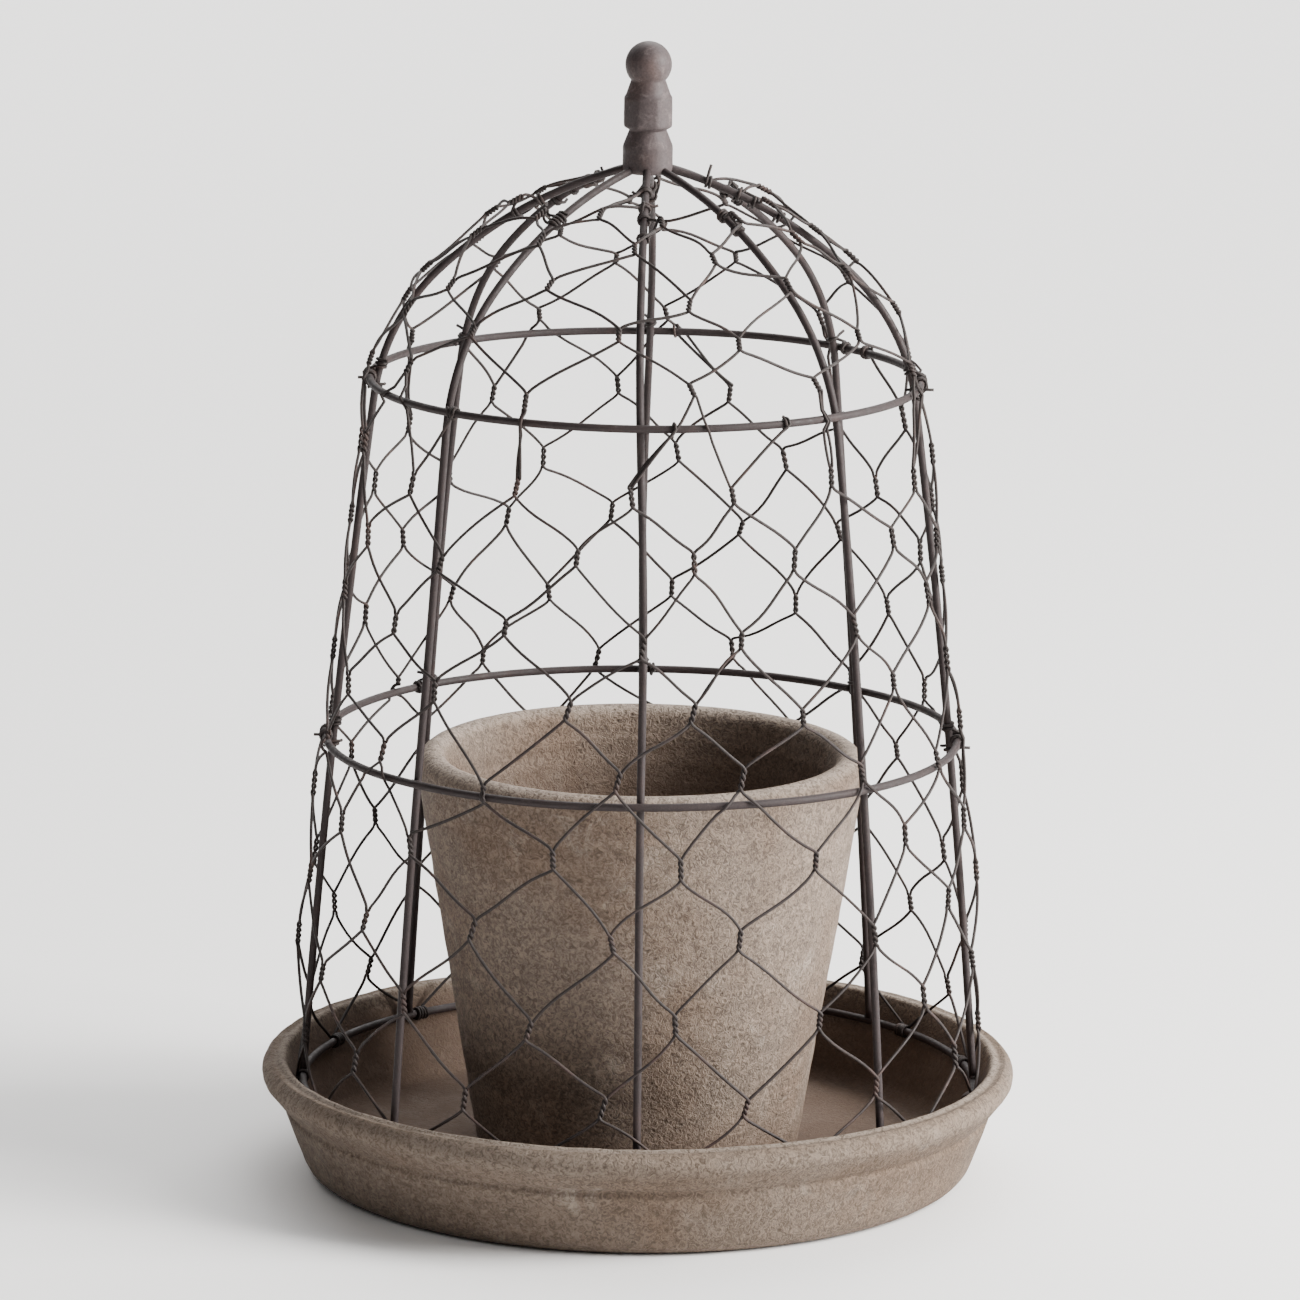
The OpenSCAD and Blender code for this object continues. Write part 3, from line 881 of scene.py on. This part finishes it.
def hoop_path(centre_r, height, seed, wobble):
    points = []
    for i in range(HOOP_POINTS):
        angle = 360 * i / HOOP_POINTS
        place = hoop_point(centre_r, height, angle)
        swell = noise.noise(place / (45 * MM) + Vector((seed, 0, 0))) * wobble
        dip = noise.noise(place / (60 * MM) + Vector((0, seed, 0))) * wobble
        points.append(hoop_point(centre_r, height, angle, swell, dip))
    return points


def add_bead(bm, place, size, seed):
    made = bmesh.ops.create_icosphere(bm, subdivisions=2, radius=1.0)["verts"]
    for vert in made:
        lump = 1 + 0.18 * noise.noise(vert.co * 1.6 + Vector((seed, seed * 2, 0)))
        vert.co = Vector(vert.co[i] * size[i] for i in range(3)) * lump
    turn = Matrix.Rotation(math.atan2(place.y, place.x), 3, "Z")
    bmesh.ops.rotate(bm, verts=made, cent=(0, 0, 0), matrix=turn)
    bmesh.ops.translate(bm, verts=made, vec=place)


def add_beads(piece, centre_r, height, inward, seed):
    bm = bmesh.new()
    bm.from_mesh(piece.data)
    for index in range(RIBS):
        for side in (-1, 1):
            angle = 45 * index + side * math.degrees(WIRE_R * 0.75 / centre_r)
            place = hoop_point(centre_r, height, angle, -inward)
            add_bead(bm, place, (0.9 * MM, 1.0 * MM, 1.15 * MM), seed + index * 2 + side)
    bm.to_mesh(piece.data)
    bm.free()
    piece.data.shade_smooth()


for name, low, high, wobble, inward in (("base_hoop", base_low, base_high, 0.0, 0.0),
                                        ("lower_hoop", lower_low, lower_high, 0.25 * MM, WIRE_R),
                                        ("upper_hoop", upper_low, upper_high, 0.25 * MM, WIRE_R)):
    centre_r, height = high.x - WIRE_R, (low.z + high.z) / 2
    path = hoop_path(centre_r, height, height * 90, wobble)
    hoop = wire_piece(name + "_ring", [path], WIRE_R, 6, frame_coat, True)
    add_beads(hoop, centre_r, height + (WIRE_R if name == "base_hoop" else 0), inward, height * 50)
    placed(hoop, "cloche", "frame_wire", name)

# %% [markdown]
# ## How hexagonal netting is made
#
# Netting looks like cells, but it is made of wires that all run upwards. Each wire twists with its
# neighbour on the left, crosses over, twists with its neighbour on the right, and so on. So it is made here
# wire by wire: every column of twists is shared by two wires, and a wire's path is helix, slanting run,
# helix, all the way up. The sheet is then stretched by hand over the ribs, which leaves cells of many
# shapes. That is a slow drift of the columns, plus a small seeded shift of each twist.

# %% Netting helpers
NET_R = 0.5 * MM
TWIST_TURNS = 2
TWIST_POINTS = 8
TWIST_REACH = NET_R * 1.06
COIL_POINTS = 10
COIL_REACH = WIRE_R + NET_R * 1.05
HOOP_COIL_RISE = NET_R * 2.3
RIB_COIL_RISE = NET_R * 2.4
BASE_COIL = (BASE_R, BASE_Z)
LOWER_COIL = (lower_high.x - WIRE_R, (lower_low.z + lower_high.z) / 2)
UPPER_COIL = (upper_high.x - WIRE_R, (upper_low.z + upper_high.z) / 2)
drawn = random.Random(41)


def net_off(length):
    """How far out the netting lies: close to the ribs, with slack below the lower hoop and on the dome."""
    foot = math.sin(math.pi / 2 * min(1.0, length / (36 * MM)))
    slack = 1.9 * MM * near(length, 72 * MM, 42 * MM) + 1.1 * MM * near(length, 275 * MM, 32 * MM)
    return (3.1 * MM + slack) * foot


def clear_of_hoops(point):
    """Moves a point of the netting out until it lies on the outside of any hoop that it crosses."""
    radius = math.hypot(point.x, point.y)
    for centre_r, height in (LOWER_COIL, UPPER_COIL):
        away = Vector((radius - centre_r, point.z - height))
        reach = WIRE_R + NET_R * 2.1
        if abs(away.y) < reach:
            least = math.sqrt(reach * reach - away.y * away.y)
            grow = (centre_r + least) / radius
            if grow > 1:
                return Vector((point.x * grow, point.y * grow, point.z))
    return point


def spread(scale):
    return drawn.uniform(-scale, scale)


def make_twist(angle, length, half, shift):
    twist = {"angle": angle + spread(shift[0]), "length": length + spread(shift[1]),
             "half": half * drawn.uniform(0.82, 1.15), "lean": spread(1.3)}
    bulge = noise.noise(Vector((twist["angle"] / 28, twist["length"] / (34 * MM), 2.0)))
    off = net_off(twist["length"]) + bulge * 1.8 * MM + spread(0.6 * MM)
    twist["off"] = max(off, WIRE_R + NET_R * 2.4) if twist["length"] > 12 * MM else WIRE_R + NET_R * 2
    return twist


def helix(twist, side):
    points = []
    steps = TWIST_TURNS * TWIST_POINTS
    for i in range(steps + 1):
        t = i / steps
        length = twist["length"] + (2 * t - 1) * twist["half"]
        angle = twist["angle"] + twist["lean"] * (t - 0.5)
        around, out, _ = axes_at(angle, length)
        turn = math.tau * TWIST_TURNS * t + (0 if side > 0 else math.pi)
        swing = around * math.cos(turn) + out * math.sin(turn)
        points.append(on_cloche(angle, length, twist["off"]) + swing * TWIST_REACH)
    return points


def run_between(start, end):
    """A slanting run of wire, with the slight bow that stretching leaves."""
    middle = (start + end) / 2
    level = Vector((middle.x, middle.y, 0))
    out = level.normalized()
    along = (end - start).normalized()
    aside = along.cross(out).normalized()
    bow, lift, swing = spread(1.1 * MM), abs(spread(0.6 * MM)) + 0.3 * MM, spread(0.7 * MM)
    points = []
    for t in (0.05, 0.12, 0.24, 0.37, 0.5, 0.63, 0.76, 0.88, 0.95):
        arch = 4 * t * (1 - t)
        sideways = aside * (bow * arch + swing * math.sin(math.tau * t))
        points.append(start.lerp(end, t) + sideways + out * lift * arch)
    return points


def eased(points, fixed):
    return [p if i in fixed else (points[i - 1] + points[i + 1]) / 4 + p / 2
            for i, p in enumerate(points)]


def coil_on_hoop(centre_r, height, angle, way, turns, tail):
    """Wire wound round a hoop, from the point where it leaves the netting out to its cut end."""
    points = []
    for i in range(int(turns * COIL_POINTS) + 1):
        turn = math.tau * i / COIL_POINTS
        at = angle + way * math.degrees(i / COIL_POINTS * HOOP_COIL_RISE / centre_r)
        away, rise = COIL_REACH * math.cos(turn), COIL_REACH * math.sin(turn)
        points.append(hoop_point(centre_r, height, at, away, rise))
    heading = (points[-1] - points[-2]).normalized()
    a = math.radians(angle)
    out = Vector((math.sin(a), -math.cos(a), 0))
    return points + [points[-1] + heading * tail * 0.5, points[-1] + (heading * 0.8 + out * 0.5) * tail]


def coil_on_rib(index, length, turns, start, tail):
    """Wire wound round a rib, upwards from a length along it, from its start out to its cut end."""
    points = []
    for i in range(int(turns * COIL_POINTS) + 1):
        turn = start + math.tau * i / COIL_POINTS
        at = length + i / COIL_POINTS * RIB_COIL_RISE
        angle = rib_angle(index, at)
        around, out, _ = axes_at(angle, at)
        swing = around * math.sin(turn) + out * math.cos(turn)
        points.append(on_cloche(angle, at) + swing * COIL_REACH)
    heading = (points[-1] - points[-2]).normalized()
    return points + [points[-1] + heading * tail * 0.5, points[-1] + (heading + out * 0.4) * tail]


def woven(twists, columns, rows, wire, first, last):
    """One wire's whole path: its first coil, then a helix at each row, then its last coil."""
    path = list(first)
    fixed = set(range(len(path)))
    for row in rows:
        left = (wire + row) % 2 == 1
        twist = twists[(wire if left else wire + 1) % columns, row]
        turns = helix(twist, 1 if left else -1)
        if path:
            path += run_between(path[-1], turns[0])
        fixed |= set(range(len(path) + 1, len(path) + len(turns) - 1))
        path += turns
    if last:
        path += run_between(path[-1], last[0])
        fixed |= set(range(len(path), len(path) + len(last)))
        path += last
    fixed |= {0, len(path) - 1}
    path = eased(eased(path, fixed), fixed)
    wound = set(range(len(first))) | set(range(len(path) - len(last), len(path)))
    return [p if i in wound else clear_of_hoops(p) for i, p in enumerate(path)]


print("netting wire in mm:", 2 * NET_R / MM)

# %% [markdown]
# ## Netting on the sides
#
# Thirty columns of twists go round the sides, a little over 20 mm apart at the base. The rows start 25 mm
# apart and close up towards the top, where the sheet was pulled in. Half way up, the cells on the front
# left have been dragged round by a few degrees. Every wire starts in a coil on the base hoop.

# %% Netting on the sides
SIDE_COLUMNS = 30
SIDE_ROWS = 9
FIRST_COLUMN = 6.2
FIRST_ROW = 18 * MM
ROW_PITCH = 25.3 * MM
ROW_CLOSING = 0.23 * MM
TWIST_HALF = 3.6 * MM
side_step = 360 / SIDE_COLUMNS


def side_drift(angle, length):
    pulled = min(1.0, max(0.0, (length - 60 * MM) / (90 * MM)))
    front = (angle + 180) % 360 - 180
    a = math.radians(angle)
    slow = noise.noise(Vector((math.sin(a) * 1.4, math.cos(a) * 1.4, length / (90 * MM))))
    return pulled * (4.5 * near(front, -14, 26) + 4.0 * slow * (1 - near(front, 0, 45)))


def side_twists():
    twists = {}
    for row in range(SIDE_ROWS):
        length = FIRST_ROW + ROW_PITCH * row - ROW_CLOSING * row * row
        loose = 0.5 + 0.5 * min(1.0, row / 4)
        for column in range(SIDE_COLUMNS):
            if (column + row) % 2 == 1:
                angle = FIRST_COLUMN + side_step * column
                twists[column, row] = make_twist(angle + side_drift(angle, length), length, TWIST_HALF,
                                                 (2.0 * loose, 4.0 * MM * loose))
    return twists


def column_of(wire, row):
    """The column that a wire is twisted in at a row: its own, or the next one."""
    return wire if (wire + row) % 2 == 1 else wire + 1


def side_start(wire):
    foot = FIRST_COLUMN + side_step * column_of(wire, -1)
    return coil_on_hoop(*BASE_COIL, foot, 1 if column_of(wire, -1) == wire else -1, 2.0, 0.0)[:-2][::-1]


side = side_twists()
print("side twists:", len(side))

# %% [markdown]
# ## Netting on the dome
#
# The dome has wider cells, twenty-two columns round. Most of the side wires run on over the upper hoop into
# it, and the rest stop there, some cut after a turn round the hoop and some just hooked over it. The sheet
# is gathered in as it climbs, so its cells grow narrow and crooked. Each wire ends wound round the nearest
# rib below the finial.

# %% Netting on the dome
DOME_COLUMNS = 22
DOME_ROWS = 5
DOME_FIRST_COLUMN = -8.0
DOME_FIRST_ROW = 235 * MM
DOME_PITCH = 16.4 * MM
CROWN_COILS = 296 * MM
CROWN_COIL_STEP = 7.5 * MM
dome_step = 360 / DOME_COLUMNS


def dome_twists():
    twists = {}
    for row in range(DOME_ROWS):
        for column in range(DOME_COLUMNS):
            if (column + row) % 2 == 1:
                angle = DOME_FIRST_COLUMN + dome_step * column
                twists[column, row] = make_twist(angle, DOME_FIRST_ROW + DOME_PITCH * row, TWIST_HALF * 0.7,
                                                 (4.2, 3.4 * MM))
    return twists


def apart(a, b):
    return abs((a - b + 180) % 360 - 180)


def crown_end(twist, wound):
    rib_index = round(twist["angle"] / 45) % RIBS
    from_left = ((twist["angle"] - 45 * rib_index + 180) % 360 - 180) < 0
    at = CROWN_COILS + CROWN_COIL_STEP * wound[rib_index] + spread(2.0 * MM)
    wound[rib_index] += 1
    return coil_on_rib(rib_index, at, drawn.choice((1.3, 1.7, 2.4)), -1.0 if from_left else 1.0,
                       drawn.uniform(1.2, 4.0) * MM)


def netting_wires():
    dome = dome_twists()
    free = {wire: side[column_of(wire, SIDE_ROWS - 1) % SIDE_COLUMNS, SIDE_ROWS - 1]["angle"]
            for wire in range(SIDE_COLUMNS)}
    wound = [0] * RIBS
    side_paths, dome_paths = [], []
    for wire in range(DOME_COLUMNS):
        steps = [dome[column_of(wire, row) % DOME_COLUMNS, row] for row in range(DOME_ROWS)]
        lean_in = -dome_step / 3 if column_of(wire, 0) == wire + 1 else dome_step / 3
        below = min(free, key=lambda w: apart(free[w], steps[0]["angle"] + lean_in))
        free.pop(below)
        path = woven(side, SIDE_COLUMNS, range(SIDE_ROWS), below, side_start(below), [])
        climb = woven(dome, DOME_COLUMNS, range(DOME_ROWS), wire, [], crown_end(steps[-1], wound))
        side_paths.append(path)
        dome_paths.append([path[-1]] + [clear_of_hoops(p) for p in run_between(path[-1], climb[0])] + climb)
    for wire in free:
        head = FIRST_COLUMN + side_step * column_of(wire, SIDE_ROWS)
        turns = drawn.choice((0.7, 1.2, 1.2, 2.1))
        end = coil_on_hoop(*UPPER_COIL, head, 1 if column_of(wire, SIDE_ROWS) == wire else -1, turns,
                           drawn.uniform(0.8, 2.2) * MM)
        side_paths.append(woven(side, SIDE_COLUMNS, range(SIDE_ROWS), wire, side_start(wire), end))
    return side_paths, dome_paths


side_paths, dome_paths = netting_wires()
netting_side = wire_piece("netting_sides", side_paths, NET_R, 1, netting_coat)
placed(netting_side, "cloche", "netting_wire", "base_ties",
       *[f"net_{tier}_{i + 1}" for tier in ("low", "mid") for i in range(RIBS)])
netting_dome = wire_piece("netting_dome", dome_paths, NET_R, 1, netting_coat)
placed(netting_dome, "cloche", "netting_wire", "crown_ties",
       *[f"net_dome_{i + 1}" for i in range(RIBS)])

# %% [markdown]
# ## Tie wires
#
# The netting's seams run up the left and right ribs. There, where a hoop crosses the rib, a length of
# netting wire is lashed round both: a few turns on the hoop, over the corner, and a few turns on the rib,
# with the cut ends left sticking out. The ribs at the back have a single thin lashing. One path makes each
# lashing.

# %% Tie wires
SEAM_RIBS = (2, 6)
BACK_RIBS = (3, 4, 5)


def lashing(hoop, hoop_l, index, way, turns):
    centre_r, height = hoop
    crossing = rib_angle(index, hoop_l)
    beside = math.degrees((WIRE_R * 1.7) / centre_r) * way
    on_hoop = coil_on_hoop(centre_r, height, crossing + beside, way, turns, 2.8 * MM)[::-1]
    on_rib = coil_on_rib(index, hoop_l + WIRE_R * 2.4, turns - 0.4, 0.3 * way, 3.0 * MM)
    corner = (on_hoop[-1] + on_rib[0]) / 2 + axes_at(crossing, hoop_l)[1] * 1.2 * MM
    return on_hoop + [corner] + on_rib


lashings = []
for index in SEAM_RIBS:
    for hoop, hoop_l in ((LOWER_COIL, lower_l), (UPPER_COIL, upper_l)):
        lashings.append(lashing(hoop, hoop_l, index, 1, 2.6))
        lashings.append(lashing(hoop, hoop_l - WIRE_R * 5.4, index, -1, 1.8))
for index in BACK_RIBS:
    lashings.append(lashing(LOWER_COIL, lower_l, index, 1 if index % 2 else -1, 1.4))
    lashings.append(lashing(UPPER_COIL, upper_l, index, -1 if index % 2 else 1, 1.4))
ties = wire_piece("hoop_lashings", lashings, NET_R, 1, netting_coat)
placed(ties, "cloche", "netting_wire", "lower_ties", "upper_ties")
